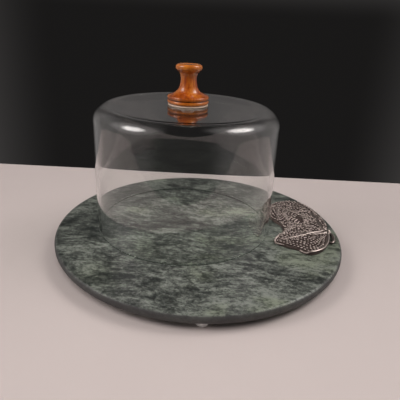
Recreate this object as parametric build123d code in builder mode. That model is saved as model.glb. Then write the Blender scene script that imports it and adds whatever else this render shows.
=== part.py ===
"""A cheese dome: a round marble board on four bumpers, with a cast metal leaf ornament,
and a glass dome that lifts off by a turned wooden knob screwed on through its top.

Millimetres, +Z up. The origin is on the surface it stands on, under the centre of the board.
"""

import os
from math import cos, radians, sin

from build123d import *

# Board
BOARD_R = 127.0
BOARD_T = 8.5
TOP_ROUND = 3.0
UNDER_ROUND = 4.8

# Bumper feet under the board
FOOT_H = 6.0
FOOT_R_TOP = 6.0
FOOT_R_GROUND = 4.8
FOOT_EDGE_ROUND = 0.8
FOOT_CIRCLE_R = 116.0
FOOT_START_ANGLE = -87.5
FOOT_NAMES = ["foot_front", "foot_right", "foot_back", "foot_left"]

# Glass dome. It stands left of the board's centre, to leave room for the ornament.
DOME_X = -14.5
DOME_Y = 8.5
DOME_R = 78.5
DOME_H = 107.8
WALL = 2.2
DOME_SHOULDER_R = 12.5
RIM_ROUND = 0.9
HOLE_R = 3.6

# Screw, washers and gasket that hold the knob to the glass
SCREW_R = 2.5
SCREW_HEAD_R = 5.5
SCREW_HEAD_H = 2.8
SCREW_HEAD_ROUND = 1.9
SCREW_TIP_CHAMFER = 0.5
SLOT_W = 1.2
SLOT_DEPTH = 1.3
STEEL_WASHER_R = 8.0
STEEL_WASHER_T = 1.0
SEAL_R = 11.0
SEAL_T = 2.0
SEAL_EDGE_ROUND = 0.6
SEAL_COLLAR_R = 3.4
SEAL_COLLAR_H = 1.8
GASKET_R = 16.8
GASKET_T = 1.4
WASHER_BORE_R = 2.8

# Knob, as radii and as heights above its gasket
KNOB_H = 31.7
KNOB_BASE_R = 16.4
LOWER_BEAD_R = 17.0
GROOVE_R = 16.0
GROOVE_Z = 3.4
UPPER_BEAD_R = 17.2
UPPER_BEAD_TOP = 6.9
SHOULDER_R = 15.6
COVE_R = 9.9
COVE_Z = 9.6
NECK_FOOT_Z = 16.5
NECK_R = 6.9
NECK_Z = 19.5
CAP_UNDER_R = 8.4
CAP_UNDER_Z = 25.2
CAP_R = 10.95
CAP_Z = 28.6
CAP_TOP_R = 9.2
DISH_R = 7.4
DISH_DEPTH = 0.6
INSERT_R = 4.0
INSERT_H = 12.0
INSERT_FLANGE_R = 5.5
INSERT_FLANGE_T = 1.0
THREAD_CLEARANCE = 0.04
THREAD_LENGTH = 10.0
BORE_EXTRA = 2.0

# Ornament
CASTING_T = 3.4
CASTING_EDGE = 0.6
PIN_R = 1.5
PIN_LENGTH = 4.0
PIN_HOLE_R = 1.7
PIN_HOLE_DEPTH = 5.0
PIN_PLACES = [(97.0, 33.0), (97.0, -22.0)]

# Heights up the object
BOARD_TOP = FOOT_H + BOARD_T
DOME_TOP = BOARD_TOP + DOME_H
DOME_CEILING = DOME_TOP - WALL
KNOB_BASE = DOME_TOP + GASKET_T
AXIS_PLANE = Plane(origin=(DOME_X, DOME_Y, 0), x_dir=(1, 0, 0), z_dir=(0, -1, 0))
DOME_AXIS = Axis((DOME_X, DOME_Y, 0), (0, 0, 1))


def keep(piece, label):
    """Labels a finished piece and writes it as parts/label.step."""
    piece.part.label = label
    export_step(piece.part, f"parts/{label}.step")


os.makedirs("parts", exist_ok=True)

# The board: a disc with an eased top edge and a rounder lower edge, and two blind holes for
# the ornament's pins.
with BuildPart() as marble_board:
    with BuildSketch(Plane.XY.offset(FOOT_H)):
        Circle(BOARD_R)
    extrude(amount=BOARD_T)
    fillet(marble_board.edges().sort_by(Axis.Z)[-1], radius=TOP_ROUND)
    fillet(marble_board.edges().sort_by(Axis.Z)[0], radius=UNDER_ROUND)
    with BuildSketch(Plane.XY.offset(BOARD_TOP)):
        with Locations(*PIN_PLACES):
            Circle(PIN_HOLE_R)
    extrude(amount=-PIN_HOLE_DEPTH, mode=Mode.SUBTRACT)
keep(marble_board, "marble_board")

# Four bumpers, each a short cone that narrows towards the ground.
for index, name in enumerate(FOOT_NAMES):
    foot_angle = radians(FOOT_START_ANGLE + index * 360 / len(FOOT_NAMES))
    foot_x = FOOT_CIRCLE_R * cos(foot_angle)
    foot_y = FOOT_CIRCLE_R * sin(foot_angle)
    with BuildPart() as foot:
        with BuildSketch(Plane((foot_x, foot_y, 0))):
            Circle(FOOT_R_GROUND)
        with BuildSketch(Plane((foot_x, foot_y, FOOT_H))):
            Circle(FOOT_R_TOP)
        loft()
        fillet(foot.edges().sort_by(Axis.Z)[0], radius=FOOT_EDGE_ROUND)
    keep(foot, name)

# The ornament: three leaves that fan out from the board's edge towards the dome, cast in one
# piece with a smooth outline. Two pins underneath go into the board.
RIGHT_SIDE = [(119.5, 10.0), (118.0, 30.0), (110.5, 50.0)]
BACK_LEAF = [(98.0, 60.5), (83.0, 56.5), (71.0, 46.0), (68.0, 30.0), (70.5, 14.5)]
MIDDLE_LEAF = [(76.5, 4.0), (75.5, -10.5)]
FRONT_LEAF = [(66.0, -25.0), (74.0, -34.0), (84.0, -38.5), (93.0, -45.0), (104.0, -38.5)]
STEM_SIDE = [(113.0, -24.0), (118.5, -8.0)]
CASTING_POINTS = RIGHT_SIDE + BACK_LEAF + MIDDLE_LEAF + FRONT_LEAF + STEM_SIDE

with BuildPart() as ornament:
    with BuildSketch(Plane.XY.offset(BOARD_TOP)):
        with BuildLine():
            Spline(*CASTING_POINTS, periodic=True)
        make_face()
    extrude(amount=CASTING_T)
    chamfer(ornament.edges().sort_by(Axis.Z)[-1], length=CASTING_EDGE)
    with BuildSketch(Plane.XY.offset(BOARD_TOP)):
        with Locations(*PIN_PLACES):
            Circle(PIN_R)
    extrude(amount=-PIN_LENGTH)
keep(ornament, "leaf_ornament")

# The glass dome: a straight wall, a rounded shoulder and a flat top with a hole for the screw.
with BuildPart() as glass_dome:
    with BuildSketch(AXIS_PLANE):
        with BuildLine():
            outer_wall = Line((DOME_R, BOARD_TOP), (DOME_R, DOME_TOP - DOME_SHOULDER_R))
            outer_shoulder = RadiusArc(
                outer_wall @ 1, (DOME_R - DOME_SHOULDER_R, DOME_TOP), -DOME_SHOULDER_R
            )
            outer_top = Line(outer_shoulder @ 1, (HOLE_R, DOME_TOP))
            hole_wall = Line(outer_top @ 1, (HOLE_R, DOME_CEILING))
            inner_top = Line(hole_wall @ 1, (DOME_R - DOME_SHOULDER_R, DOME_CEILING))
            inner_shoulder = RadiusArc(
                inner_top @ 1,
                (DOME_R - WALL, DOME_TOP - DOME_SHOULDER_R),
                DOME_SHOULDER_R - WALL,
            )
            inner_wall = Line(inner_shoulder @ 1, (DOME_R - WALL, BOARD_TOP))
            Line(inner_wall @ 1, outer_wall @ 0)
        make_face()
    revolve(axis=DOME_AXIS)
    fillet(glass_dome.edges().group_by(Axis.Z)[0], radius=RIM_ROUND)
keep(glass_dome, "glass_dome")

# Inside the dome: a rubber seal whose collar lines the hole, a steel washer and a slotted
# screw, stacked downwards from the ceiling.
seal_bottom = DOME_CEILING - SEAL_T
with BuildPart() as inner_seal:
    with BuildSketch(Plane((DOME_X, DOME_Y, seal_bottom))):
        Circle(SEAL_R)
        Circle(WASHER_BORE_R, mode=Mode.SUBTRACT)
    extrude(amount=SEAL_T)
    fillet(inner_seal.edges().group_by(Axis.Z)[0].sort_by(SortBy.RADIUS)[-1], radius=SEAL_EDGE_ROUND)
    with BuildSketch(Plane((DOME_X, DOME_Y, DOME_CEILING))):
        Circle(SEAL_COLLAR_R)
        Circle(WASHER_BORE_R, mode=Mode.SUBTRACT)
    extrude(amount=SEAL_COLLAR_H)
keep(inner_seal, "inner_seal")

washer_bottom = seal_bottom - STEEL_WASHER_T
with BuildPart() as steel_washer:
    with BuildSketch(Plane((DOME_X, DOME_Y, washer_bottom))):
        Circle(STEEL_WASHER_R)
        Circle(WASHER_BORE_R, mode=Mode.SUBTRACT)
    extrude(amount=STEEL_WASHER_T)
keep(steel_washer, "steel_washer")

head_bottom = washer_bottom - SCREW_HEAD_H
screw_tip = KNOB_BASE + THREAD_LENGTH
with BuildPart() as dome_screw:
    with BuildSketch(Plane((DOME_X, DOME_Y, head_bottom))):
        Circle(SCREW_HEAD_R)
    extrude(amount=SCREW_HEAD_H)
    fillet(dome_screw.edges().sort_by(Axis.Z)[0], radius=SCREW_HEAD_ROUND)
    with BuildSketch(Plane((DOME_X, DOME_Y, head_bottom))):
        Rectangle(2 * SCREW_HEAD_R, SLOT_W)
    extrude(amount=SLOT_DEPTH, mode=Mode.SUBTRACT)
    with BuildSketch(Plane((DOME_X, DOME_Y, washer_bottom))):
        Circle(SCREW_R)
    extrude(amount=screw_tip - washer_bottom)
    chamfer(dome_screw.edges().sort_by(Axis.Z)[-1], length=SCREW_TIP_CHAMFER)
keep(dome_screw, "dome_screw")

# The clear gasket that the knob stands on.
with BuildPart() as knob_gasket:
    with BuildSketch(Plane((DOME_X, DOME_Y, DOME_TOP))):
        Circle(GASKET_R)
        Circle(WASHER_BORE_R, mode=Mode.SUBTRACT)
    extrude(amount=GASKET_T)
keep(knob_gasket, "knob_gasket")

# The turned knob: two beads at the base, a cove up to a slim neck, and a rounded cap with a
# shallow dish. A stepped bore underneath takes the threaded insert.


def knob_point(radius, height):
    """A point on the knob's outline, from its radius and its height above the gasket."""
    return (radius, KNOB_BASE + height)


with BuildPart() as knob:
    with BuildSketch(AXIS_PLANE):
        with BuildLine():
            under = Line(knob_point(0, 0), knob_point(KNOB_BASE_R, 0))
            lower_bead = ThreePointArc(
                under @ 1,
                knob_point(LOWER_BEAD_R, GROOVE_Z / 2),
                knob_point(GROOVE_R, GROOVE_Z),
            )
            upper_bead = ThreePointArc(
                lower_bead @ 1,
                knob_point(UPPER_BEAD_R, (GROOVE_Z + UPPER_BEAD_TOP) / 2),
                knob_point(SHOULDER_R, UPPER_BEAD_TOP),
            )
            cove = ThreePointArc(
                upper_bead @ 1,
                knob_point(COVE_R, COVE_Z),
                knob_point(NECK_R, NECK_FOOT_Z),
            )
            neck = ThreePointArc(
                cove @ 1,
                knob_point(NECK_R, NECK_Z),
                knob_point(CAP_UNDER_R, CAP_UNDER_Z),
            )
            cap = ThreePointArc(
                neck @ 1,
                knob_point(CAP_R, CAP_Z),
                knob_point(CAP_TOP_R, KNOB_H),
            )
            dish_rim = Line(cap @ 1, knob_point(DISH_R, KNOB_H))
            dish_floor = Line(
                knob_point(DISH_R - DISH_DEPTH, KNOB_H - DISH_DEPTH),
                knob_point(0, KNOB_H - DISH_DEPTH),
            )
            Line(dish_rim @ 1, dish_floor @ 0)
            Line(dish_floor @ 1, under @ 0)
        make_face()
    revolve(axis=DOME_AXIS)
    with BuildSketch(Plane((DOME_X, DOME_Y, KNOB_BASE))):
        Circle(INSERT_FLANGE_R)
    extrude(amount=INSERT_FLANGE_T, mode=Mode.SUBTRACT)
    with BuildSketch(Plane((DOME_X, DOME_Y, KNOB_BASE))):
        Circle(INSERT_R)
    extrude(amount=INSERT_H + BORE_EXTRA, mode=Mode.SUBTRACT)
keep(knob, "knob")

# The brass insert pressed into the knob. The screw's thread is held in its bore.
with BuildPart() as knob_insert:
    with BuildSketch(Plane((DOME_X, DOME_Y, KNOB_BASE))):
        Circle(INSERT_FLANGE_R)
    extrude(amount=INSERT_FLANGE_T)
    with BuildSketch(Plane((DOME_X, DOME_Y, KNOB_BASE))):
        Circle(INSERT_R)
    extrude(amount=INSERT_H)
    with BuildSketch(Plane((DOME_X, DOME_Y, KNOB_BASE))):
        Circle(SCREW_R + THREAD_CLEARANCE)
    extrude(amount=INSERT_H, mode=Mode.SUBTRACT)
keep(knob_insert, "knob_insert")
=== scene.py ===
import math

import bmesh
import bpy
import numpy as np
from mathutils import Matrix, Vector


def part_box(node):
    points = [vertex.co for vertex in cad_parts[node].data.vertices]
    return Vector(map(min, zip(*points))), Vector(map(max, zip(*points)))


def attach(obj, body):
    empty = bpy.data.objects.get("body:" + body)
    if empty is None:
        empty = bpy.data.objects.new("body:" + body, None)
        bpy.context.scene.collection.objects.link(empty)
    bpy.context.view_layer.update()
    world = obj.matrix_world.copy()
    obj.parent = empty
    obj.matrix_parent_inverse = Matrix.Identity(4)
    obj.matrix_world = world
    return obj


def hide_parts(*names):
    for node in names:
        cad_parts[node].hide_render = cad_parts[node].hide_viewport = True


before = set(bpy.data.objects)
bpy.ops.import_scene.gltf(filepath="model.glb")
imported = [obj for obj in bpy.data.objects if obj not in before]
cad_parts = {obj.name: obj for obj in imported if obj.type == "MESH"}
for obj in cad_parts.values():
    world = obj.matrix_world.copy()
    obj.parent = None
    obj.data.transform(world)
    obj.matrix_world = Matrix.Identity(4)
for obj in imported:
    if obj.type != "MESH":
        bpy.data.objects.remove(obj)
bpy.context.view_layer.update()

bl_info = {
    "name": "Cheese Dome",
    "version": (1, 0, 0),
    "blender": (4, 5, 0),
    "location": "View3D > Sidebar > Cheese Dome",
    "description": "Dresses a cheese dome: marble board, cast leaf ornament, glass dome and turned knob",
    "category": "Add Mesh",
}


def round_box(node):
    """A round node's radius, its centre, and its lowest and highest level."""
    low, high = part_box(node)
    return (high.x - low.x) / 2, (low + high) / 2, low.z, high.z


MM = 0.001
BOARD_R, _, BOARD_BASE, BOARD_TOP = round_box("marble_board")
DOME_R, DOME_CENTRE, DOME_BASE, DOME_TOP = round_box("glass_dome")
_, _, KNOB_BASE, KNOB_TOP = round_box("knob")
GLASS_HOLE_R = 3.6 * MM
COLLAR_R = 3.4 * MM
RING_BORE_R = 2.8 * MM
THREAD_PITCH = 0.8 * MM


# Node trees ------------------------------------------------------------------------------


class Wire:
    """One output of a node. Arithmetic on it adds Math nodes to its tree."""

    def __init__(self, tree, socket):
        self.tree = tree
        self.socket = socket

    def math(self, operation, *values):
        """A Math node of any operation on these values."""
        return self.tree.node("ShaderNodeMath", {"operation": operation}, dict(enumerate(values)))

    def other(self, name):
        """Another output of the node that this one comes from."""
        return Wire(self.tree, self.socket.node.outputs[name])

    def __add__(self, value):
        return self.math("ADD", self, value)

    __radd__ = __add__

    def __sub__(self, value):
        return self.math("SUBTRACT", self, value)

    def __rsub__(self, value):
        return self.math("SUBTRACT", value, self)

    def __mul__(self, value):
        return self.math("MULTIPLY", self, value)

    __rmul__ = __mul__

    def __truediv__(self, value):
        return self.math("DIVIDE", self, value)

    def __rtruediv__(self, value):
        return self.math("DIVIDE", value, self)

    def __mod__(self, value):
        return self.math("FLOORED_MODULO", self, value)

    def __pow__(self, value):
        return self.math("POWER", self, value)

    def __abs__(self):
        return self.math("ABSOLUTE", self)

    def floor(self):
        return self.math("FLOOR", self)


class NodeTree:
    """A node tree that is filled by calls to node()."""

    def __init__(self, tree):
        self.tree = tree
        tree.nodes.clear()

    def node(self, kind, settings=None, inputs=None, output=0):
        """Adds a node: its settings first, then the values or links of its sockets."""
        new = self.tree.nodes.new(kind)
        for name, value in (settings or {}).items():
            if name == "stops":
                self._set_stops(new.color_ramp, value)
            else:
                setattr(new, name, value)
        for key, value in (inputs or {}).items():
            if isinstance(value, Wire):
                self.tree.links.new(value.socket, new.inputs[key])
            else:
                new.inputs[key].default_value = value
        return Wire(self, new.outputs[output]) if len(new.outputs) else new

    def vector(self, operation, *values, output=0):
        """A Vector Math node: positions and directions go through this, never through Math."""
        inputs = dict(enumerate(values))
        return self.node("ShaderNodeVectorMath", {"operation": operation}, inputs, output)

    def split(self, vector):
        """The three parts of a vector, each as a Wire."""
        first = self.node("ShaderNodeSeparateXYZ", inputs={0: vector})
        return first, first.other("Y"), first.other("Z")

    def steps(self, value, low, high, top=1.0):
        """0 before low, top beyond high, and a smooth rise between them."""
        settings = {"interpolation_type": "SMOOTHSTEP"}
        return self.node("ShaderNodeMapRange", settings, {0: value, 1: low, 2: high, 4: top})

    @staticmethod
    def _set_stops(ramp, stops):
        while len(ramp.elements) < len(stops):
            ramp.elements.new(1.0)
        for element, (place, colour) in zip(ramp.elements, stops):
            element.position = place
            element.color = colour


class Shader(NodeTree):
    """One material, with the nodes that this object's finishes share."""

    def __init__(self, name):
        self.material = bpy.data.materials.new(name)
        self.material.use_nodes = True
        super().__init__(self.material.node_tree)

    def place(self, scale=(1, 1, 1), turn=(0, 0, 0), shift=(0, 0, 0)):
        """Object coordinates, scaled, turned and shifted."""
        coords = self.node("ShaderNodeTexCoord", output="Object")
        values = {"Vector": coords, "Scale": scale, "Rotation": turn, "Location": shift}
        return self.node("ShaderNodeMapping", inputs=values)

    def stretch(self, place, scale):
        """place, scaled along each axis."""
        return self.node("ShaderNodeMapping", inputs={"Vector": place, "Scale": scale})

    def noise(self, place, scale, detail=4.0, roughness=0.55, distortion=0.0, output="Fac"):
        """Fractal noise. scale is in features per metre."""
        values = {
            "Vector": place,
            "Scale": scale,
            "Detail": detail,
            "Roughness": roughness,
            "Distortion": distortion,
        }
        return self.node("ShaderNodeTexNoise", inputs=values, output=output)

    def warp(self, place, scale, amount):
        """place, pushed about by noise of its own, so that straight patterns swirl."""
        push = self.noise(place, scale, 2.0, output="Color")
        centred = self.vector("SUBTRACT", push, (0.5, 0.5, 0.5))
        return self.vector("ADD", place, self.vector("MULTIPLY", centred, (amount, amount, amount)))

    def ramp(self, value, *stops):
        """A colour that runs through the stops, each (place, red, green, blue)."""
        colours = [(place, (red, green, blue, 1.0)) for place, red, green, blue in stops]
        return self.node("ShaderNodeValToRGB", {"stops": colours}, {0: value})

    def mix(self, factor, first, second, blend="MIX"):
        """Two colours mixed by factor. Each is a Wire, or its red, green and blue."""
        settings = {"data_type": "RGBA", "blend_type": blend}
        first, second = (side if isinstance(side, Wire) else (*side, 1.0) for side in (first, second))
        return self.node("ShaderNodeMix", settings, {0: factor, 6: first, 7: second}, output=2)

    def bump(self, height, distance, strength):
        """A normal that follows height, which is worth distance metres where it is 1."""
        values = {"Height": height, "Distance": distance, "Strength": strength}
        return self.node("ShaderNodeBump", inputs=values)

    def finish(self, **sockets):
        """The Principled shader with those sockets, into the material's output."""
        values = {name.replace("_", " "): value for name, value in sockets.items()}
        return self.output(self.node("ShaderNodeBsdfPrincipled", inputs=values))

    def output(self, surface):
        """Ends the material with that surface."""
        self.node("ShaderNodeOutputMaterial", inputs={"Surface": surface})
        return self.material


class GeometryTree(NodeTree):
    """A Geometry Nodes tree with named inputs, which turned() and the paths below use."""

    def __init__(self, name, **kinds):
        super().__init__(bpy.data.node_groups.new(name, "GeometryNodeTree"))
        face = self.tree.interface
        face.new_socket(name="Geometry", in_out="INPUT", socket_type="NodeSocketGeometry")
        self.identifiers = {}
        for label, kind in kinds.items():
            title = label.replace("_", " ").capitalize()
            socket = face.new_socket(name=title, in_out="INPUT", socket_type="NodeSocket" + kind)
            self.identifiers[label] = socket.identifier
        face.new_socket(name="Geometry", in_out="OUTPUT", socket_type="NodeSocketGeometry")
        self.geometry = self.node("NodeGroupInput")

    def value(self, label):
        """The tree's own input with that label."""
        return self.geometry.other(label.replace("_", " ").capitalize())

    def close(self, geometry):
        """Ends the tree: plain geometry, shaded smooth, with the material that was asked for."""
        plain = self.node("GeometryNodeRealizeInstances", inputs={0: geometry})
        smooth = self.node("GeometryNodeSetShadeSmooth", inputs={0: plain, 2: True})
        painted = self.node("GeometryNodeSetMaterial", inputs={0: smooth, 2: self.value("material")})
        self.node("NodeGroupOutput", inputs={0: painted})
        return self

    def make(self, name, source, **values):
        """Runs the tree on the source mesh, and returns the result as an object with a plain mesh."""
        carrier = add_object(name, source)
        modifier = carrier.modifiers.new("shape", "NODES")
        modifier.node_group = self.tree
        for label, value in values.items():
            modifier[self.identifiers[label]] = value
        shaped = carrier.evaluated_get(bpy.context.evaluated_depsgraph_get())
        mesh = bpy.data.meshes.new_from_object(shaped)
        carrier.modifiers.remove(modifier)
        carrier.data = mesh
        mesh.name = name
        face_outwards(mesh)
        return carrier


def add_object(name, data):
    """A new object in the scene, at the origin."""
    made = bpy.data.objects.new(name, data)
    bpy.context.scene.collection.objects.link(made)
    return made


def add_rubbing_and_top_light(mesh, polish):
    """Stores how far each point of a casting is rubbed bright and painted bright where it faces up, from
    0 to 1.
    """
    attribute = mesh.attributes.new("polish", "FLOAT", "POINT")
    attribute.data.foreach_set("value", np.clip(polish, 0.0, 1.0).astype(np.float32))


def upward(mesh):
    """How far each point of a mesh faces up: 1 straight up, 0 sideways."""
    normals = np.zeros(len(mesh.vertices) * 3, np.float32)
    mesh.vertex_normals.foreach_get("vector", normals)
    return normals.reshape(-1, 3)[:, 2]


def face_outwards(mesh):
    """Merges doubles and turns every face to the outside of its closed shell."""
    work = bmesh.new()
    work.from_mesh(mesh)
    bmesh.ops.remove_doubles(work, verts=work.verts, dist=1e-7)
    bmesh.ops.recalc_face_normals(work, faces=work.faces)
    work.to_mesh(mesh)
    work.free()


def point_mesh(name, points, edges=(), **attributes):
    """A mesh of loose points or paths, with a named number for each point."""
    mesh = bpy.data.meshes.new(name)
    mesh.from_pydata([tuple(point) for point in points], edges, [])
    for label, values in attributes.items():
        attribute = mesh.attributes.new(label, "FLOAT", "POINT")
        attribute.data.foreach_set("value", list(values))
    return mesh


# Turned shapes ---------------------------------------------------------------------------


def lathe_tree():
    """Spins a row of points (radius, 0, height) about a vertical axis."""
    tree = GeometryTree(
        "turned_shape", segments="Int", points="Int", centre="Vector", material="Material"
    )
    rows = tree.value("points")
    sheet = tree.node(
        "GeometryNodeMeshGrid",
        inputs={"Vertices X": tree.value("segments") + 1.0, "Vertices Y": rows},
    )
    index = tree.node("GeometryNodeInputIndex")
    place = tree.node("GeometryNodeInputPosition")
    sample = tree.node(
        "GeometryNodeSampleIndex", {"data_type": "FLOAT_VECTOR"},
        {0: tree.geometry, 1: place, 2: index % rows},
    )
    radius, _, height = tree.split(sample)
    turn = (index / rows).floor() * math.tau / tree.value("segments")
    x = radius * turn.math("COSINE", turn)
    y = radius * turn.math("SINE", turn)
    around = tree.node("ShaderNodeCombineXYZ", inputs={0: x, 1: y, 2: height})
    centred = tree.vector("ADD", around, tree.value("centre"))
    spun = tree.node("GeometryNodeSetPosition", inputs={0: sheet, 2: centred})
    closed = tree.node("GeometryNodeMergeByDistance", inputs={0: spun, 2: 1e-6})
    return tree.close(closed)


def arc(centre, radius, start, end, steps=8):
    """Points (radius, height) along an arc of an outline. Angles are in degrees from outwards."""
    angles = [math.radians(start + (end - start) * step / steps) for step in range(steps + 1)]
    return [(centre[0] + radius * math.cos(a), centre[1] + radius * math.sin(a)) for a in angles]


def run(start, end, steps):
    """Points along a straight stretch of an outline, without its two ends, closer near them."""
    shares = [(1 - math.cos(math.pi * step / steps)) / 2 for step in range(1, steps)]
    return [(start[0] + (end[0] - start[0]) * s, start[1] + (end[1] - start[1]) * s) for s in shares]


def joined(*stretches, steps=6):
    """One outline through stretches of points, with points in the gaps between them."""
    outline = list(stretches[0])
    for stretch in stretches[1:]:
        outline += run(outline[-1], stretch[0], steps) + list(stretch)
    return outline


def smooth_outline(points, steps=8):
    """A smooth line through the points (Catmull-Rom), with its ends held."""
    ends = [points[0]] + list(points) + [points[-1]]
    outline = []
    for before, start, end, after in zip(ends, ends[1:], ends[2:], ends[3:]):
        for step in range(steps):
            outline.append(spline_point(before, start, end, after, step / steps))
    return outline + [tuple(points[-1])]


def spline_point(before, start, end, after, t):
    """A point of the Catmull-Rom spline between start and end."""
    weights = (
        (-t + 2 * t * t - t ** 3) / 2,
        (2 - 5 * t * t + 3 * t ** 3) / 2,
        (t + 4 * t * t - 3 * t ** 3) / 2,
        (t ** 3 - t * t) / 2,
    )
    corners = (before, start, end, after)
    return tuple(sum(w * c[axis] for w, c in zip(weights, corners)) for axis in range(len(start)))


def turned(name, outline, centre, material, segments=192, loop=False):
    """A piece turned about the vertical axis through centre. A loop is a ring's closed outline."""
    if loop:
        outline = list(outline) + run(outline[-1], outline[0], 12) + [outline[0]]
    source = point_mesh(name, [(radius, 0.0, height) for radius, height in outline])
    axis = (centre[0], centre[1], 0.0)
    return LATHE.make(
        name, source, segments=segments, points=len(outline), centre=axis, material=material
    )


def dress(piece, body, slot, *nodes):
    """Fixes a finished piece to its body and hides the nodes it stands for. slot is not used."""
    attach(piece, body)
    if nodes:
        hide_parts(*nodes)


# Paths: rods and beads -------------------------------------------------------------------


def rod_tree():
    """A round rod along each path, as thick as the path's own thickness says."""
    tree = GeometryTree("rod_along_path", sides="Int", spacing="Float", material="Material")
    path = tree.node("GeometryNodeMeshToCurve", inputs={0: tree.geometry})
    thickness = tree.node(
        "GeometryNodeInputNamedAttribute", {"data_type": "FLOAT"}, {"Name": "thickness"}
    )
    even = tree.node(
        "GeometryNodeResampleCurve", {"mode": "LENGTH"}, {"Curve": path, "Length": tree.value("spacing")}
    )
    ring = tree.node(
        "GeometryNodeCurvePrimitiveCircle", inputs={"Resolution": tree.value("sides"), "Radius": 1.0}
    )
    rod = tree.node(
        "GeometryNodeCurveToMesh",
        inputs={"Curve": even, "Profile Curve": ring, "Scale": thickness, "Fill Caps": True},
    )
    return tree.close(rod)


def bead_tree():
    """A bead at every pitch along each path, each a little larger or smaller than the next."""
    tree = GeometryTree(
        "beads_along_path",
        pitch="Float",
        radius="Float",
        variation="Float",
        seed="Int",
        material="Material",
    )
    path = tree.node("GeometryNodeMeshToCurve", inputs={0: tree.geometry})
    even = tree.node(
        "GeometryNodeResampleCurve", {"mode": "LENGTH"}, {"Curve": path, "Length": tree.value("pitch")}
    )
    bead = tree.node(
        "GeometryNodeMeshUVSphere", inputs={"Segments": 8, "Rings": 6, "Radius": tree.value("radius")}
    )
    variation = tree.value("variation")
    limits = {2: 1.0 - variation, 3: 1.0 + variation, 8: tree.value("seed")}
    size = tree.node("FunctionNodeRandomValue", {"data_type": "FLOAT"}, limits, output=1)
    beads = tree.node(
        "GeometryNodeInstanceOnPoints", inputs={"Points": even, "Instance": bead, "Scale": size}
    )
    return tree.close(beads)


def path_mesh(name, paths):
    """A mesh of separate paths. Each path is a list of (x, y, z, thickness)."""
    points, edges, thickness = [], [], []
    for path in paths:
        first = len(points)
        points += [point[:3] for point in path]
        thickness += [point[3] for point in path]
        edges += [(first + step, first + step + 1) for step in range(len(path) - 1)]
    return point_mesh(name, points, edges, thickness=thickness)


LATHE = lathe_tree()
RODS = rod_tree()
BEADS = bead_tree()


# Materials -------------------------------------------------------------------------------


# The slab's own broad patches: (x, y) and reach in millimetres, then how much paler or darker
PATCHES = [
    (-33, -50, 40, 0.030), (-62, -86, 38, 0.026), (0, 92, 34, 0.014), (36, -30, 36, -0.032),
    (22, -62, 26, -0.018), (-70, 38, 36, -0.014), (22, 48, 34, -0.014), (84, 30, 22, 0.018),
]
OLIVE_PATCHES = [(-62, -88, 30), (-38, -52, 26), (88, 20, 30)]


def marble_material(board):
    """Green marble: pale clouds drawn out sideways, dark seams, fine flecks, and a rougher edge painted
    dark as shade.
    """
    shader = Shader("green_marble")
    swirled = shader.warp(shader.place(turn=(0, 0, 0.12)), 9.0, 0.045)
    stretched = shader.stretch(swirled, (0.55, 1.0, 1.0))
    drawn = shader.stretch(swirled, (0.30, 1.0, 1.0))
    clouds = shader.noise(stretched, 26.0, 3.0, 0.5)
    body = shader.noise(stretched, 85.0, 12.0, 0.80)
    streaks = shader.noise(drawn, 260.0, 8.0, 0.75, 0.3)
    grain = shader.noise(shader.place(scale=(0.8, 1.0, 1.0)), 430.0, 6.0, 0.80)
    tone = clouds * 0.20 + body * 0.32 + streaks * 0.26 + grain * 0.22

    def patch(x, y, reach):
        """1 in the middle of a patch of the slab, and 0 from its reach outwards."""
        away = shader.vector("DISTANCE", swirled, (x * MM, y * MM, BOARD_TOP), output="Value")
        return shader.steps(away, reach * MM, 0.0)

    for x, y, reach, amount in PATCHES:
        tone = tone + patch(x, y, reach) * amount
    pale = tuple(board.pale_colour)
    dark = tuple(board.dark_colour)
    middle = tuple(0.50 * low + 0.36 * high for low, high in zip(dark, pale))
    palest = tuple(1.4 * part for part in pale)
    base = shader.ramp(tone, (0.455, *dark), (0.500, *middle), (0.540, *pale), (0.62, *palest))
    olive = shader.steps(shader.noise(stretched, 24.0, 3.0), 0.55, 0.68)
    for place in OLIVE_PATCHES:
        olive = olive + patch(*place) * 0.6
    tinted = shader.mix(olive * 0.32, base, tuple(board.tint_colour), "SOFT_LIGHT")
    lines = abs(shader.noise(drawn, 120.0, 7.0, 0.7, 0.5) - 0.5)
    patches = shader.steps(shader.noise(swirled, 30.0, 3.0), 0.48, 0.60)
    veined = shader.mix(shader.steps(lines, 0.022, 0.006) * patches * 0.8, tinted, dark)
    crystals = shader.steps(shader.noise(shader.place(), 900.0, 3.0, 0.6), 0.60, 0.72)
    colour = shader.mix(crystals * 0.16, veined, tuple(1.5 * part for part in pale))
    along, across, height = shader.split(shader.place())
    radius = (along * along + across * across) ** 0.5
    # Painted shade: the side face and rounded top edge are darkened towards the edge colour, and made
    # rougher.
    edge = shader.steps(height, BOARD_TOP - 0.2 * MM, BOARD_TOP - 1.3 * MM)
    edge = edge * shader.steps(radius, BOARD_R - 6.0 * MM, BOARD_R - 3.0 * MM)
    return shader.finish(
        Base_Color=shader.mix(edge * 0.85, colour, tuple(board.shaded_edge_colour)),
        Roughness=0.26 + grain * 0.14 + body * 0.10 + edge * 0.30,
        Normal=shader.bump(grain * 0.6 + body * 0.4, 0.00010, 0.5),
    )


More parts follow.
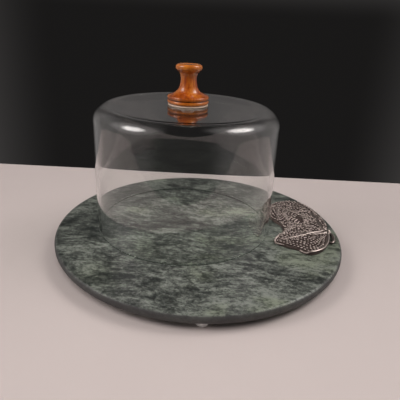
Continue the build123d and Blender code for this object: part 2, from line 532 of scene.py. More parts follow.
def glass_material():
    """Clear blown glass, faintly wavy and smeared, tinted darker and greener at its rim as a painted
    contact shade. Its shadows are pale.
    """
    shader = Shader("dome_glass")
    waves = shader.noise(shader.place(scale=(1.0, 1.0, 0.6)), 26.0, 2.0, 0.4)
    smears = shader.noise(shader.place(scale=(1.0, 1.0, 2.0)), 60.0, 4.0, 0.6)
    clean = shader.mix(smears, (0.955, 0.965, 0.958), (0.985, 0.985, 0.98))
    height = shader.split(shader.place())[2] - DOME_BASE
    # Painted shade: within 1.5 mm of the rim the glass is tinted dark green, for a dark contact line.
    rim = shader.steps(height, 1.5 * MM, 0.7 * MM)
    glass = shader.node(
        "ShaderNodeBsdfPrincipled",
        inputs={
            "Base Color": shader.mix(rim, clean, (0.58, 0.65, 0.60)),
            "Roughness": shader.steps(smears, 0.45, 0.75) * 0.004,
            "IOR": 1.5,
            "Transmission Weight": 1.0,
            "Normal": shader.bump(waves, 0.0004, 0.20),
        },
    )
    clear = shader.node("ShaderNodeBsdfTransparent", inputs={0: (0.93, 0.94, 0.93, 1.0)})
    shadow_ray = shader.node("ShaderNodeLightPath", output="Is Shadow Ray")
    return shader.output(shader.node("ShaderNodeMixShader", inputs={0: shadow_ray, 1: glass, 2: clear}))


def wood_material(knob):
    """Orange-brown turned hardwood: upright grain, golden ends, painted shade in the groove and at the
    foot, gloss lacquer.
    """
    shader = Shader("turned_wood")
    upright = shader.place(scale=(1.0, 1.0, 0.09))
    grain = shader.noise(upright, 620.0, 5.0, 0.62, 0.6)
    bands = shader.noise(shader.place(scale=(1.0, 1.0, 0.25)), 130.0, 3.0, 0.5, 0.8)
    pores = shader.noise(shader.place(scale=(1.0, 1.0, 0.05)), 2300.0, 2.0, 0.5)
    dark = tuple(knob.dark_colour)
    warm = tuple(knob.warm_colour)
    pale = tuple(knob.pale_colour)
    base = shader.ramp(grain * 0.45 + bands * 0.55, (0.36, *dark), (0.50, *warm), (0.64, *pale))
    pore_mask = shader.steps(pores, 0.60, 0.70)
    pored = shader.mix(pore_mask * 0.45, base, tuple(0.4 * part for part in dark))
    groove_level, waist_level = 3.4 * MM, 14.0 * MM
    height = shader.split(shader.place())[2] - KNOB_BASE
    # Painted shade: the groove between the two beads and the foot against the gasket are darkened.
    groove_shade = shader.steps(abs(height - groove_level), 0.55 * MM, 0.15 * MM)
    foot = shader.steps(height, 0.5 * MM, 0.1 * MM)
    ends = shader.steps(abs(height - waist_level), 6.0 * MM, 14.0 * MM)
    golden = shader.mix(ends * 0.5, pored, pale)
    shade = tuple(0.25 * part for part in dark)
    return shader.finish(
        Base_Color=shader.mix((groove_shade + foot) * 0.8, golden, shade),
        Roughness=0.30 + grain * 0.15,
        Normal=shader.bump(grain, 0.00006, 0.35),
        Specular_IOR_Level=0.15,
        Coat_Weight=1.0,
        Coat_Roughness=0.07,
        Coat_IOR=1.42,
    )


def cast_metal_material(ornament):
    """An antiqued casting: dark in its recesses as patina and painted shade, bright where its polish
    says, as rubbing and painted top light.
    """
    shader = Shader("antiqued_casting")
    polish = shader.node("ShaderNodeAttribute", {"attribute_name": "polish"}, output="Fac")
    blotches = shader.noise(shader.place(), 260.0, 4.0, 0.6)
    pitting = shader.noise(shader.place(), 1500.0, 3.0, 0.6)
    rubbed_and_lit = shader.steps(polish + (blotches - 0.5) * 0.7, 0.25, 0.95)
    dark, bright = tuple(ornament.dark_colour), tuple(ornament.bright_colour)
    colour = shader.mix(rubbed_and_lit, dark, bright)
    tarnish = shader.mix(shader.steps(pitting, 0.54, 0.68) * 0.5, colour, dark)
    return shader.finish(
        Base_Color=tarnish,
        Metallic=0.45 + rubbed_and_lit * 0.55,
        Roughness=0.55 - rubbed_and_lit * 0.27 + pitting * 0.10,
        Normal=shader.bump(blotches * 0.7 + pitting * 0.3, 0.00022, 0.6),
    )


def rubber_material(name, pale, deep, transmission=0.0):
    """Soft rubber with a faint bloom. transmission makes it let some light through."""
    shader = Shader(name)
    bloom = shader.noise(shader.place(), 420.0, 4.0, 0.6)
    grit = shader.noise(shader.place(), 2600.0, 2.0, 0.5)
    return shader.finish(
        Base_Color=shader.mix(bloom, deep, pale),
        Roughness=0.34 + bloom * 0.22,
        Normal=shader.bump(grit, 0.00003, 0.4),
        Transmission_Weight=transmission,
        IOR=1.46,
    )


def turned_metal_material(name, bright, dull, thread_start=None):
    """Lathe-turned metal with a little tarnish, and a thread above thread_start if it's given, with
    painted shade in its valleys.
    """
    shader = Shader(name)
    marks = shader.noise(shader.place(scale=(1.0, 1.0, 6.0)), 1800.0, 3.0, 0.6)
    tarnish = shader.noise(shader.place(), 320.0, 4.0, 0.6)
    colour = shader.mix(shader.steps(tarnish, 0.35, 0.7), bright, dull)
    height = marks * 0.08
    if thread_start is not None:
        from_axis = shader.place(shift=(-DOME_CENTRE.x, -DOME_CENTRE.y, 0.0))
        along, across, up = shader.split(from_axis)
        turns = up / THREAD_PITCH - across.math("ARCTAN2", across, along) / math.tau
        crest = abs(turns - turns.floor() - 0.5) * 2.0
        threaded = shader.steps(up, thread_start, thread_start + 0.4 * MM)
        # Painted shade: the thread's valleys are darkened nearly to black.
        valley_shade = shader.steps(crest, 0.55, 0.10)
        colour = shader.mix(threaded * valley_shade * 0.8, colour, (0.03, 0.03, 0.03))
        height = height + crest * threaded
    return shader.finish(
        Base_Color=colour,
        Metallic=1.0,
        Roughness=0.24 + tarnish * 0.25,
        Normal=shader.bump(height, 0.00035, 0.7),
    )


def table_material(stage):
    """The pale, matt table that the object stands on."""
    shader = Shader("pale_table")
    tone = shader.noise(shader.place(), 9.0, 5.0, 0.6)
    weave = shader.noise(shader.place(), 700.0, 3.0, 0.6)
    colour = tuple(stage.floor_colour)
    deeper = tuple(0.93 * part for part in colour)
    return shader.finish(
        Base_Color=shader.mix(tone, deeper, colour),
        Roughness=0.62 + weave * 0.1,
        Normal=shader.bump(weave, 0.00005, 0.3),
    )


# Sizes and colours that a user would change ----------------------------------------------


class CheeseDomeBoard(bpy.types.PropertyGroup):
    """The marble board's sizes and colours."""

    top_round: bpy.props.FloatProperty(
        name="Top edge round", description="Radius of the board's top edge",
        default=3.0 * MM, unit="LENGTH",
    )
    under_round: bpy.props.FloatProperty(
        name="Lower edge round", description="Radius of the board's lower edge",
        default=4.8 * MM, unit="LENGTH",
    )
    pale_colour: bpy.props.FloatVectorProperty(
        name="Clouds", description="Colour of the pale clouds", subtype="COLOR",
        default=(0.170, 0.187, 0.164),
    )
    dark_colour: bpy.props.FloatVectorProperty(
        name="Seams", description="Colour of the dark seams", subtype="COLOR",
        default=(0.012, 0.015, 0.014),
    )
    tint_colour: bpy.props.FloatVectorProperty(
        name="Tint", description="Colour that tints some clouds", subtype="COLOR",
        default=(0.44, 0.50, 0.27),
    )
    # Painted shade: the dark colour that the board's side face is painted.
    shaded_edge_colour: bpy.props.FloatVectorProperty(
        name="Edge", description="Colour of the honed edge", subtype="COLOR",
        default=(0.042, 0.040, 0.040),
    )


class CheeseDomeGlass(bpy.types.PropertyGroup):
    """The glass dome's sizes."""

    wall: bpy.props.FloatProperty(
        name="Wall", description="Thickness of the glass", default=2.2 * MM, unit="LENGTH"
    )
    shoulder: bpy.props.FloatProperty(
        name="Shoulder", description="Outer radius of the shoulder", default=12.5 * MM, unit="LENGTH"
    )
    taper: bpy.props.FloatProperty(
        name="Taper", description="How much narrower the top is than the rim",
        default=0.2 * MM, unit="LENGTH",
    )


class CheeseDomeKnob(bpy.types.PropertyGroup):
    """The knob's wood."""

    dark_colour: bpy.props.FloatVectorProperty(
        name="Dark grain", description="Colour of the dark grain", subtype="COLOR",
        default=(0.140, 0.018, 0.002),
    )
    warm_colour: bpy.props.FloatVectorProperty(
        name="Wood", description="Main colour of the wood", subtype="COLOR",
        default=(0.360, 0.070, 0.006),
    )
    pale_colour: bpy.props.FloatVectorProperty(
        name="Pale grain", description="Colour of the pale grain", subtype="COLOR",
        default=(0.600, 0.190, 0.022),
    )


class CheeseDomeOrnament(bpy.types.PropertyGroup):
    """The leaf ornament's sizes and colours."""

    relief: bpy.props.FloatProperty(
        name="Relief", description="Height of the leaves above the board",
        default=3.6 * MM, unit="LENGTH",
    )
    bead: bpy.props.FloatProperty(
        name="Bead radius", description="Radius of the beads on the leaves",
        default=1.12 * MM, unit="LENGTH",
    )
    bead_pitch: bpy.props.FloatProperty(
        name="Bead pitch", description="Distance from one bead to the next",
        default=3.0 * MM, unit="LENGTH",
    )
    row_pitch: bpy.props.FloatProperty(
        name="Row pitch", description="Distance from one row of beads to the next",
        default=2.95 * MM, unit="LENGTH",
    )
    seed: bpy.props.IntProperty(name="Seed", description="Seed for the beads' sizes", default=7)
    # Colour of the patina in the recesses and of the painted shade on sides that do not face up.
    dark_colour: bpy.props.FloatVectorProperty(
        name="Recesses", description="Colour of the dark recesses", subtype="COLOR",
        default=(0.085, 0.061, 0.055),
    )
    # Colour of the rubbed metal and of the painted top light.
    bright_colour: bpy.props.FloatVectorProperty(
        name="Rubbed metal", description="Colour of the rubbed edges", subtype="COLOR",
        default=(0.54, 0.46, 0.42),
    )


class CheeseDomeStage(bpy.types.PropertyGroup):
    """The table, the lamp, the windows and the camera."""

    camera_place: bpy.props.FloatVectorProperty(
        name="Camera", description="Where the camera stands", subtype="TRANSLATION",
        default=(-0.4 * MM, -330.2 * MM, 185.0 * MM),
    )
    camera_pitch: bpy.props.FloatProperty(
        name="Pitch", description="How far the camera looks down",
        default=math.radians(23.76), unit="ROTATION",
    )
    camera_roll: bpy.props.FloatProperty(
        name="Roll", description="How far the camera is rolled",
        default=math.radians(2.86), unit="ROTATION",
    )
    lens: bpy.props.FloatProperty(
        name="Lens", description="Focal length on a 36 mm sensor", default=36.0, unit="CAMERA"
    )
    floor_colour: bpy.props.FloatVectorProperty(
        name="Table", description="Colour of the table", subtype="COLOR",
        default=(0.56, 0.495, 0.478),
    )
    table_back: bpy.props.FloatProperty(
        name="Table's far edge", description="Distance from the object to the table's far edge",
        default=181.0 * MM, unit="LENGTH",
    )
    lamp_power: bpy.props.FloatProperty(
        name="Fill lamp", description="Power of the fill lamp", default=3.1, unit="POWER"
    )
    left_window: bpy.props.FloatVectorProperty(
        name="Left window", description="Direction of the left window", subtype="DIRECTION",
        default=(-0.76, -0.18, 0.62),
    )
    right_window: bpy.props.FloatVectorProperty(
        name="Right window", description="Direction of the right window", subtype="DIRECTION",
        default=(0.66, 0.10, 0.74),
    )
    window_strength: bpy.props.FloatProperty(
        name="Windows", description="Brightness of the two windows", default=7.5
    )


# Operators: one for each piece or group of like pieces -----------------------------------


class CHEESEDOME_OT_marble_board(bpy.types.Operator):
    """Make the round marble board with its eased edges"""

    bl_idname = "cheesedome.marble_board"
    bl_label = "Marble Board"

    def execute(self, context):
        board = context.scene.cheesedome_board
        under, top = board.under_round, board.top_round
        outline = joined(
            [(0.0, BOARD_BASE)],
            arc((BOARD_R - under, BOARD_BASE + under), under, -90, 0, 10),
            arc((BOARD_R - top, BOARD_TOP - top), top, 0, 90, 10),
            [(0.0, BOARD_TOP)],
            steps=7,
        )
        piece = turned("marble_slab", outline, (0.0, 0.0), marble_material(board), segments=256)
        dress(piece, "board", "marble", "marble_board")
        return {"FINISHED"}


class CHEESEDOME_OT_bumper_feet(bpy.types.Operator):
    """Make the four soft bumpers under the board"""

    bl_idname = "cheesedome.bumper_feet"
    bl_label = "Bumper Feet"

    def execute(self, context):
        material = rubber_material("clear_bumper", (0.98, 0.98, 0.97), (0.93, 0.93, 0.92), 0.15)
        for side in ("front", "right", "back", "left"):
            radius, centre, low, high = round_box(f"foot_{side}")
            sole_r = radius * 0.80
            edge = 0.9 * MM
            outline = joined(
                [(0.0, low)],
                arc((sole_r - edge, low + edge), edge, -90, -10),
                [(radius, high - 0.3 * MM), (radius, high)],
                [(0.0, high)],
                steps=3,
            )
            piece = turned(f"bumper_{side}", outline, centre, material, segments=64)
            dress(piece, "board", "bumper", f"foot_{side}")
        return {"FINISHED"}


class CHEESEDOME_OT_glass_dome(bpy.types.Operator):
    """Make the glass dome with its rounded rim and shoulder"""

    bl_idname = "cheesedome.glass_dome"
    bl_label = "Glass Dome"

    def execute(self, context):
        glass = context.scene.cheesedome_glass
        wall, shoulder = glass.wall, glass.shoulder
        rim = wall * 0.47
        bend = (DOME_R - glass.taper - shoulder, DOME_TOP - shoulder)
        outline = joined(
            arc((DOME_R - wall + rim, DOME_BASE + rim), rim, 180, 270, 6),
            arc((DOME_R - rim, DOME_BASE + rim), rim, -90, 0, 6),
            arc(bend, shoulder, 0, 90, 18),
            [(GLASS_HOLE_R, DOME_TOP)],
            [(GLASS_HOLE_R, DOME_TOP - wall)],
            arc(bend, shoulder - wall, 90, 0, 16),
            steps=12,
        )
        piece = turned("glass_cover", outline, DOME_CENTRE, glass_material(), segments=256, loop=True)
        dress(piece, "dome", "glass", "glass_dome")
        return {"FINISHED"}


class CHEESEDOME_OT_fixings(bpy.types.Operator):
    """Make the seal and washer, and finish the screw and the knob's insert"""

    bl_idname = "cheesedome.fixings"
    bl_label = "Seal, Washer, Screw and Insert"

    def execute(self, context):
        outer, _, low, high = round_box("inner_seal")
        ceiling = DOME_TOP - context.scene.cheesedome_glass.wall
        edge = 0.6 * MM
        outline = joined(
            [(RING_BORE_R, low)],
            arc((outer - edge, low + edge), edge, -90, 0, 5),
            [(outer, ceiling), (COLLAR_R, ceiling)],
            [(COLLAR_R, high), (RING_BORE_R, high)],
            steps=2,
        )
        rubber = rubber_material("seal_rubber", (0.46, 0.36, 0.29), (0.34, 0.26, 0.21))
        dress(turned("seal", outline, DOME_CENTRE, rubber, 96, True), "dome", "seal", "inner_seal")

        outer, _, low, high = round_box("steel_washer")
        edge = 0.25 * MM
        outline = joined(
            [(RING_BORE_R, low)],
            arc((outer - edge, low + edge), edge, -90, 0, 3),
            arc((outer - edge, high - edge), edge, 0, 90, 3),
            [(RING_BORE_R, high)],
            steps=2,
        )
        steel = turned_metal_material("plated_steel", (0.56, 0.55, 0.53), (0.36, 0.35, 0.34))
        dress(turned("washer", outline, DOME_CENTRE, steel, 96, True), "dome", "steel", "steel_washer")

        threaded = turned_metal_material(
            "screw_steel", (0.60, 0.59, 0.57), (0.40, 0.39, 0.38), DOME_TOP
        )
        brass = turned_metal_material("turned_brass", (0.74, 0.53, 0.24), (0.48, 0.33, 0.15))
        for node, material in (("dome_screw", threaded), ("knob_insert", brass)):
            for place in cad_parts[node].material_slots:
                place.material = material
        return {"FINISHED"}


class CHEESEDOME_OT_knob_gasket(bpy.types.Operator):
    """Make the translucent ring between the glass and the knob"""

    bl_idname = "cheesedome.knob_gasket"
    bl_label = "Knob Gasket"

    def execute(self, context):
        outer, _, low, high = round_box("knob_gasket")
        bulge = (high - low) / 2
        outline = joined(
            [(RING_BORE_R, low)],
            arc((outer - bulge, low + bulge), bulge, -90, 90, 10),
            [(RING_BORE_R, high)],
            steps=4,
        )
        material = rubber_material("gasket_ring", (0.68, 0.53, 0.43), (0.51, 0.37, 0.28))
        piece = turned("gasket", outline, DOME_CENTRE, material, 128, True)
        dress(piece, "gasket", "gasket", "knob_gasket")
        return {"FINISHED"}


class CHEESEDOME_OT_turned_knob(bpy.types.Operator):
    """Make the turned wooden knob"""

    bl_idname = "cheesedome.turned_knob"
    bl_label = "Turned Knob"

    def execute(self, context):
        # Radii, and heights above the knob's base, in millimetres
        height = (KNOB_TOP - KNOB_BASE) / MM
        hollow = height - 0.85
        beads = arc((15.6, 1.75), 1.65, -75, 70, 10) + arc((15.65, 5.15), 1.72, -68, 62, 12)
        cove = smooth_outline(
            [(15.9, 6.95), (14.2, 7.5), (11.8, 8.5), (9.7, 10.1), (8.0, 12.6), (7.0, 15.6), (6.55, 18.9),
             (6.8, 22.0), (7.7, 24.6), (9.0, 25.7)], 6,
        )
        cap = arc((8.35, height - 2.95), 2.58, -62, 84, 18)
        lip = [(7.9, height - 0.45), (6.6, height - 0.75)]
        dish = smooth_outline([*lip, (3.4, hollow), (0.0, hollow)], 6)
        bore = [(0.0, 14.0), (4.0, 14.0), (4.0, 1.0), (5.5, 1.0), (5.5, 0.0)]
        outline = joined(bore, beads, steps=3) + cove + cap + dish
        piece = turned(
            "knob_turning",
            [(radius * MM, KNOB_BASE + rise * MM) for radius, rise in outline],
            DOME_CENTRE,
            wood_material(context.scene.cheesedome_knob),
            segments=160,
        )
        dress(piece, "knob", "turned_wood", "knob")
        return {"FINISHED"}


# The ornament's plan, in millimetres from the board's centre
RIGHT_SIDE = [(119.5, 10.0), (118.0, 30.0), (110.5, 50.0)]
BACK_LEAF = [(98.0, 60.5), (83.0, 56.5), (71.0, 46.0), (68.0, 30.0), (70.5, 14.5)]
MIDDLE_LEAF = [(76.5, 4.0), (75.5, -10.5)]
FRONT_LEAF = [(66.0, -25.0), (74.0, -34.0), (84.0, -38.5), (93.0, -45.0), (104.0, -38.5)]
STEM_SIDE = [(113.0, -24.0), (118.5, -8.0)]
CASTING_POINTS = RIGHT_SIDE + BACK_LEAF + MIDDLE_LEAF + FRONT_LEAF + STEM_SIDE
CASTING_CENTRE = (97.0, 6.0)
POINTS_PER_CORNER = 24

# Raised lines: each a list of (x, y), then its thickness at the start and at the end
VEINS = [
    ([(113, -6), (108, 10), (98, 25), (86, 36), (75, 41)], 1.25, 0.55),
    ([(113, -6), (102, 0), (90, 1), (80, -3)], 1.1, 0.5),
    ([(113, -7), (103, -12), (91, -18), (78, -24), (70, -26)], 1.25, 0.5),
    ([(112, 0), (112, 20), (108, 38), (100, 54)], 1.1, 0.5),
    ([(111, 36), (104, 33), (94, 32)], 0.5, 1.0),
    ([(116, -10), (108, -13), (98, -14), (88, -12)], 1.2, 0.5),
    ([(108, 38), (101, 42), (93, 44), (84, 50)], 0.8, 0.5),
]
RIMS = [
    ([(85, -40), (90, -44), (97, -42.5), (105, -36.5), (111, -27), (114.5, -17), (116.5, -8)], 1.0, 1.6),
    ([(118.5, 4), (119, 14), (117.5, 25), (113.5, 36)], 1.0, 1.2),
    ([(73, -33), (67, -29), (66.5, -24.5), (70, -20.5)], 0.8, 1.0),
    ([(69.5, 16), (68.5, 26), (69.5, 37), (73, 46)], 0.7, 0.9),
]
STEM = ([(114, -5), (118.2, -7), (120, -13), (119, -20), (116.6, -24), (114.4, -23.4)], 1.5, 1.0)
# Sunk lines between the leaves: each a list of (x, y), then its depth and its width
VALLEYS = [([(74, 9), (92, 8), (106, 3)], 1.1, 2.4), ([(75, -14), (92, -9), (107, -8)], 0.8, 2.0)]


def casting_outline(spokes):
    """The ornament's outline about CASTING_CENTRE: for each spoke, its angle and its reach."""
    count = len(CASTING_POINTS)
    shares = [step / POINTS_PER_CORNER for step in range(POINTS_PER_CORNER)]
    ring = []
    for index in range(count):
        corners = [CASTING_POINTS[(index + step) % count] for step in (-1, 0, 1, 2)]
        ring += [spline_point(*corners, share) for share in shares]
    ring = np.array(ring) - CASTING_CENTRE
    angles = np.arctan2(ring[:, 1], ring[:, 0])
    order = np.argsort(angles)
    even = np.linspace(-math.pi, math.pi, spokes, endpoint=False)
    return even, np.interp(even, angles[order], np.hypot(*ring.T)[order], period=math.tau)


OUTLINE_ANGLES, OUTLINE_REACH = casting_outline(720)
VEIN_LINES = [(smooth_outline(path, 5), thick) for path, thick, _ in VEINS]


def distance_to_path(x, y, path):
    """Distance in plan from each point to a path, and the share of the path that it is along."""
    points = np.array(path, float)
    nearest = np.full(np.shape(x), np.inf)
    along = np.zeros(np.shape(x))
    count = len(points) - 1
    for index, (start, end) in enumerate(zip(points, points[1:])):
        span = end - start
        share = np.clip(((x - start[0]) * span[0] + (y - start[1]) * span[1]) / (span @ span), 0, 1)
        away = np.hypot(x - start[0] - share * span[0], y - start[1] - share * span[1])
        closer = away < nearest
        nearest = np.where(closer, away, nearest)
        along = np.where(closer, (index + share) / count, along)
    return nearest, along


def edge_distance(x, y):
    """About how far inside the outline a point in plan is, in millimetres."""
    dx, dy = x - CASTING_CENTRE[0], y - CASTING_CENTRE[1]
    reach = np.interp(np.arctan2(dy, dx), OUTLINE_ANGLES, OUTLINE_REACH, period=math.tau)
    return reach - np.hypot(dx, dy)


def leaf_height(x, y, relief):
    """Height of the leaves' surface above the board at points in plan, in millimetres."""
    edge_height, edge_round, crown_reach, lowest = 0.9, 2.6, 16.0, 0.6
    inwards = edge_distance(x, y)
    inside = np.clip(inwards / edge_round, 0.0, 1.0)
    rounding = np.sqrt(1.0 - (1.0 - inside) ** 2)
    crown = np.clip(inwards / crown_reach, 0.0, 1.0)
    height = edge_height + rounding * (0.42 * relief) + 0.22 * relief * np.sin(crown * math.pi / 2)
    for path, depth, width in VALLEYS:
        away, _ = distance_to_path(x, y, path)
        height -= depth * np.exp(-((away / width) ** 2))
    for path, thick in VEIN_LINES:
        away, along = distance_to_path(x, y, path)
        height += 0.35 * thick * np.exp(-((away / 2.6) ** 2))
        # Fine ribs lean off the vein on both sides, and fade away from it
        ribs = np.cos((along * 44.0 + away * 0.75) * 1.7)
        height += 0.16 * ribs * np.exp(-((away / 6.0) ** 2)) * (away > 0.8)
    return np.maximum(height, lowest)


def leaf_plate(ornament, material):
    """The casting's body: a closed relief with a flat underside, over the outline's spokes."""
    relief = ornament.relief / MM
    # Rings of points as shares of the reach, closer together near the edge
    rings = np.concatenate([np.linspace(0.02, 0.80, 46), np.linspace(0.815, 1.0, 22)])
    cosines, sines = np.cos(OUTLINE_ANGLES), np.sin(OUTLINE_ANGLES)
    points = []
    for share in rings:
        x = CASTING_CENTRE[0] + share * OUTLINE_REACH * cosines
        y = CASTING_CENTRE[1] + share * OUTLINE_REACH * sines
        points.append(np.stack([x, y, leaf_height(x, y, relief)], axis=1))
    foot = points[-1].copy()
    foot[:, 2] = 0.0
    points.append(foot)
    surface = np.concatenate(points)
    spokes = len(OUTLINE_ANGLES)
    top_middle = len(surface)
    middle_height = float(leaf_height(*CASTING_CENTRE, relief))
    surface = np.vstack([surface, [(*CASTING_CENTRE, middle_height), (*CASTING_CENTRE, 0.0)]])
    faces = []
    for ring in range(len(points) - 1):
        for spoke in range(spokes):
            here, after = ring * spokes + spoke, ring * spokes + (spoke + 1) % spokes
            faces.append((here, here + spokes, after + spokes, after))
    last = (len(points) - 1) * spokes
    for spoke in range(spokes):
        after = (spoke + 1) % spokes
        faces.append((top_middle, spoke, after))
        faces.append((top_middle + 1, last + after, last + spoke))
    mesh = bpy.data.meshes.new("leaf_plate")
    placed = surface * MM + (0.0, 0.0, BOARD_TOP)
    mesh.from_pydata([tuple(point) for point in placed.tolist()], [], faces)
    mesh.polygons.foreach_set("use_smooth", [True] * len(mesh.polygons))
    mesh.materials.append(material)
    face_outwards(mesh)
    places = np.array([vertex.co for vertex in mesh.vertices]) / MM
    # Painted light: the plate's polish is scaled by how far it faces up, so its slopes are painted in
    # shade.
    add_rubbing_and_top_light(mesh, plate_polish(places[:, 0], places[:, 1]) * np.clip(upward(mesh), 0.0, 1.0))
    return add_object("leaf_plate", mesh)


def plate_polish(x, y):
    """How far the plate is rubbed bright: somewhat along its veins, and less in between."""
    polish = np.full(np.shape(x), 0.22)
    for path, _ in VEIN_LINES:
        away, _ = distance_to_path(x, y, path)
        polish += 0.30 * np.exp(-((away / 1.8) ** 2))
    return polish


def side_veins(path, relief, pitch=4.6, reach=9.0, lean=0.9):
    """Thin veins that branch off to both sides of a main vein, shorter towards its tip."""
    plan = np.array(smooth_outline(path, 8))
    lengths = np.concatenate([[0.0], np.cumsum(np.hypot(*np.diff(plan, axis=0).T))])

    def point_at(length):
        return np.array([np.interp(length, lengths, plan[:, axis]) for axis in (0, 1)])

    def towards(angle):
        return np.array([math.cos(angle), math.sin(angle)])

    branches = []
    for place in np.arange(pitch * 1.5, lengths[-1] - pitch * 0.5, pitch):
        start = point_at(place)
        ahead = point_at(place + 1.0) - start
        heading = math.atan2(ahead[1], ahead[0])
        half = 0.5 * reach * (1.0 - 0.55 * place / lengths[-1])
        for side in (-1, 1):
            middle = start + half * towards(heading + side * lean)
            end = middle + half * towards(heading + side * lean * 0.62)
            if edge_distance(*end) > 2.5:
                branches.append(raised_path([start, middle, end], 0.5, 0.22, relief))
    return branches


def raised_path(path, start, end, relief, lift=0.25):
    """A path in plan laid on the leaves, as points (x, y, z, thickness) in metres."""
    plan = smooth_outline(path, 8)
    heights = leaf_height(*np.array(plan).T, relief)
    placed = []
    for index, ((x, y), height) in enumerate(zip(plan, heights)):
        share = index / (len(plan) - 1)
        thickness = start + (end - start) * share
        placed.append((x * MM, y * MM, BOARD_TOP + (height + lift * thickness) * MM, thickness * MM))
    return placed


def bead_rows(ornament):
    """Rows of beads that follow the outline, one inside another, with gaps where veins run."""
    relief = ornament.relief / MM
    step = ornament.row_pitch / MM
    row_count, first_inset, sway = 13, 1.7, 0.7
    rows = []
    for row in range(row_count):
        angles = np.radians(np.arange(-147.0 + 1.5 * row, 207.0, 1.0))
        reach = np.interp(angles, OUTLINE_ANGLES, OUTLINE_REACH, period=math.tau)
        reach = reach - first_inset - row * step
        x = CASTING_CENTRE[0] + reach * np.cos(angles)
        y = CASTING_CENTRE[1] + reach * np.sin(angles)
        x += sway * np.sin(9.0 * angles + 2.1 * row)
        y += sway * np.sin(11.0 * angles + 1.3 * row)
        # The outermost row leaves the front rim bare
        beside_rim = (angles > -1.5) & (angles < -0.25) & (row == 0)
        keep = (reach > 2.0) & ~beside_rim
        for path, thick in VEIN_LINES:
            keep &= distance_to_path(x, y, path)[0] > thick + 0.3
        rise = BOARD_TOP + (leaf_height(x, y, relief) + 0.30) * MM
        current = []
        for a, b, c, kept in zip(x * MM, y * MM, rise, keep):
            if kept:
                current.append((a, b, c, MM))
            if current and not kept:
                rows.append(current)
                current = []
        rows.append(current)
    return [path for path in rows if len(path) > 2]


class CHEESEDOME_OT_leaf_ornament(bpy.types.Operator):
    """Make the cast leaf ornament: plate, veins, rims, stem and rows of beads"""

    bl_idname = "cheesedome.leaf_ornament"
    bl_label = "Leaf Ornament"

    def execute(self, context):
        ornament = context.scene.cheesedome_ornament
        relief = ornament.relief / MM
        material = cast_metal_material(ornament)
        plate = leaf_plate(ornament, material)
        dress(plate, "board", "cast_metal", "leaf_ornament")
        rods = {
            "leaf_veins": [raised_path(*vein, relief) for vein in VEINS],
            "leaf_rims": [raised_path(*rim, relief) for rim in RIMS],
            "leaf_stem": [raised_path(*STEM, relief, 0.5)],
            "leaf_side_veins": [branch for vein in VEINS[:4] for branch in side_veins(vein[0], relief)],
        }
        for name, paths in rods.items():
            piece = RODS.make(
                name, path_mesh(name, paths), sides=10, spacing=0.7 * MM, material=material
            )
            # Painted light: the rods are bright where they face up and dark below, as a painted
            # highlight and shade.
            add_rubbing_and_top_light(piece.data, (upward(piece.data) - 0.1) / 0.7)
            dress(piece, "board", "cast_metal")
        beads = BEADS.make(
            "leaf_beads",
            path_mesh("leaf_beads", bead_rows(ornament)),
            pitch=ornament.bead_pitch,
            radius=ornament.bead,
            variation=0.22,
            seed=ornament.seed,
            material=material,
        )
        # Painted light: each bead is bright on top and dark below, as a painted highlight and shade.
        add_rubbing_and_top_light(beads.data, (upward(beads.data) - 0.2) / 0.6)
        dress(beads, "board", "cast_metal")
        return {"FINISHED"}


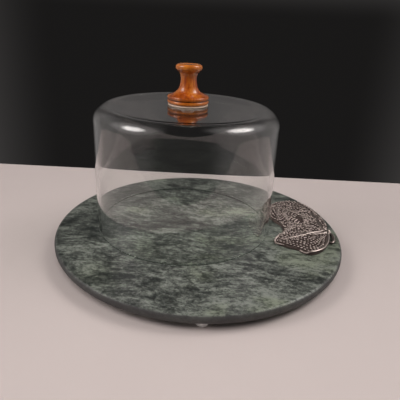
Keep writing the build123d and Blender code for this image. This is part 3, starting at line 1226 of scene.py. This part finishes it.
class CHEESEDOME_OT_stage(bpy.types.Operator):
    """Set up the table, the soft light and the camera"""

    bl_idname = "cheesedome.stage"
    bl_label = "Stage"

    def execute(self, context):
        stage = context.scene.cheesedome_stage
        self.add_table(stage)
        self.add_world(context, stage)
        self.add_lamp(stage)
        self.add_camera(context, stage)
        context.scene.view_settings.view_transform = "Standard"
        return {"FINISHED"}

    def add_table(self, stage):
        """A broad, thin table top that ends a little way behind the object."""
        half_width, front, thick, edge = 1.2, -0.215, 0.03, 0.003
        work = bmesh.new()
        bmesh.ops.create_cube(work, size=1.0)
        depth = stage.table_back - front
        bmesh.ops.scale(work, vec=(2 * half_width, depth, thick), verts=work.verts)
        bmesh.ops.translate(work, vec=(0.0, stage.table_back - depth / 2, -thick / 2), verts=work.verts)
        bmesh.ops.bevel(work, geom=work.edges[:], offset=edge, segments=3, affect="EDGES", profile=0.5)
        mesh = bpy.data.meshes.new("table_top")
        work.to_mesh(mesh)
        work.free()
        mesh.materials.append(table_material(stage))
        add_object("table_top", mesh)

    def add_world(self, context, stage):
        """A dim room: a soft glow at both sides, a dark wall behind, and two soft windows."""
        world = bpy.data.worlds.new("soft_room")
        world.use_nodes = True
        tree = NodeTree(world.node_tree)
        way = tree.node("ShaderNodeTexCoord", output="Generated")
        side, forward, up = tree.split(way)
        side = abs(side)
        level = (side * side + forward * forward) ** 0.5 + 0.001
        behind = tree.steps(forward / level, 0.84, 0.94)
        glow = tree.steps(side / level, 0.45, 0.80, 0.24) + 0.05
        below_ceiling = tree.steps(up, 0.95, 0.35)
        above_cloth = tree.steps(up, 0.02, 0.22, 0.12) * tree.steps(up, 0.60, 0.28)
        strength = glow * below_ceiling * (1.0 - behind) + (above_cloth + 0.010) * behind
        for spot in (stage.left_window, stage.right_window):
            aim = tree.vector("NORMALIZE", tuple(spot))
            facing = tree.vector("DOT_PRODUCT", way, aim, output="Value")
            halo = tree.steps(facing, 0.82, 0.98, 0.11 * stage.window_strength)
            strength = strength + halo + tree.steps(facing, 0.962, 0.994, stage.window_strength)
        warm_white = (1.0, 0.945, 0.925, 1.0)
        light = tree.node("ShaderNodeBackground", inputs={"Color": warm_white, "Strength": strength})
        tree.node("ShaderNodeOutputWorld", inputs={"Surface": light})
        context.scene.world = world

    def add_lamp(self, stage):
        """A soft fill from in front and above, which the glass and the gloss don't show."""
        lamp = bpy.data.lights.new("lamp_fill", "AREA")
        lamp.shape = "ELLIPSE"
        lamp.size, lamp.size_y = 0.50, 0.40
        lamp.energy = stage.lamp_power
        lamp.color = (1.0, 0.96, 0.94)
        holder = add_object("lamp_fill", lamp)
        place = Vector((0.0, -0.50, 0.75))
        aim = Vector((0.0, -0.08, 0.0)) - place
        turn = aim.to_track_quat("-Z", "Y").to_matrix().to_4x4()
        holder.matrix_world = Matrix.Translation(place) @ turn
        holder.visible_glossy = False
        holder.visible_transmission = False

    def add_camera(self, context, stage):
        """The camera in front, looking down, and rolled a little."""
        pitch, roll = stage.camera_pitch, stage.camera_roll
        forward = Vector((0.0, math.cos(pitch), -math.sin(pitch)))
        up = Vector((0.0, math.sin(pitch), math.cos(pitch)))
        right = Vector((1.0, 0.0, 0.0))
        rolled_right = right * math.cos(roll) + up * math.sin(roll)
        rolled_up = up * math.cos(roll) - right * math.sin(roll)
        turn = Matrix((rolled_right, rolled_up, -forward)).transposed().to_4x4()
        data = bpy.data.cameras.new("camera")
        data.lens = stage.lens
        data.sensor_width = 36.0
        camera = add_object("camera", data)
        camera.matrix_world = Matrix.Translation(Vector(stage.camera_place)) @ turn
        context.scene.camera = camera


class CHEESEDOME_PT_panel(bpy.types.Panel):
    """Lists the cheese dome's pieces"""

    bl_idname = "CHEESEDOME_PT_panel"
    bl_label = "Cheese Dome"
    bl_space_type = "VIEW_3D"
    bl_region_type = "UI"
    bl_category = "Cheese Dome"

    def draw(self, context):
        for operator in OPERATORS:
            self.layout.operator(operator.bl_idname)


OPERATORS = (
    CHEESEDOME_OT_stage,
    CHEESEDOME_OT_marble_board,
    CHEESEDOME_OT_bumper_feet,
    CHEESEDOME_OT_leaf_ornament,
    CHEESEDOME_OT_glass_dome,
    CHEESEDOME_OT_fixings,
    CHEESEDOME_OT_knob_gasket,
    CHEESEDOME_OT_turned_knob,
)
GROUPS = {
    "cheesedome_board": CheeseDomeBoard,
    "cheesedome_glass": CheeseDomeGlass,
    "cheesedome_knob": CheeseDomeKnob,
    "cheesedome_ornament": CheeseDomeOrnament,
    "cheesedome_stage": CheeseDomeStage,
}


def register():
    for kind in (*GROUPS.values(), *OPERATORS, CHEESEDOME_PT_panel):
        bpy.utils.register_class(kind)
    for name, kind in GROUPS.items():
        setattr(bpy.types.Scene, name, bpy.props.PointerProperty(type=kind))


def unregister():
    for name in GROUPS:
        delattr(bpy.types.Scene, name)
    for kind in reversed((*GROUPS.values(), *OPERATORS, CHEESEDOME_PT_panel)):
        bpy.utils.unregister_class(kind)


def main():
    """Makes every piece in order."""
    register()
    for operator in OPERATORS:
        group, name = operator.bl_idname.split(".")
        getattr(getattr(bpy.ops, group), name)()


if __name__ == "__main__":
    main()
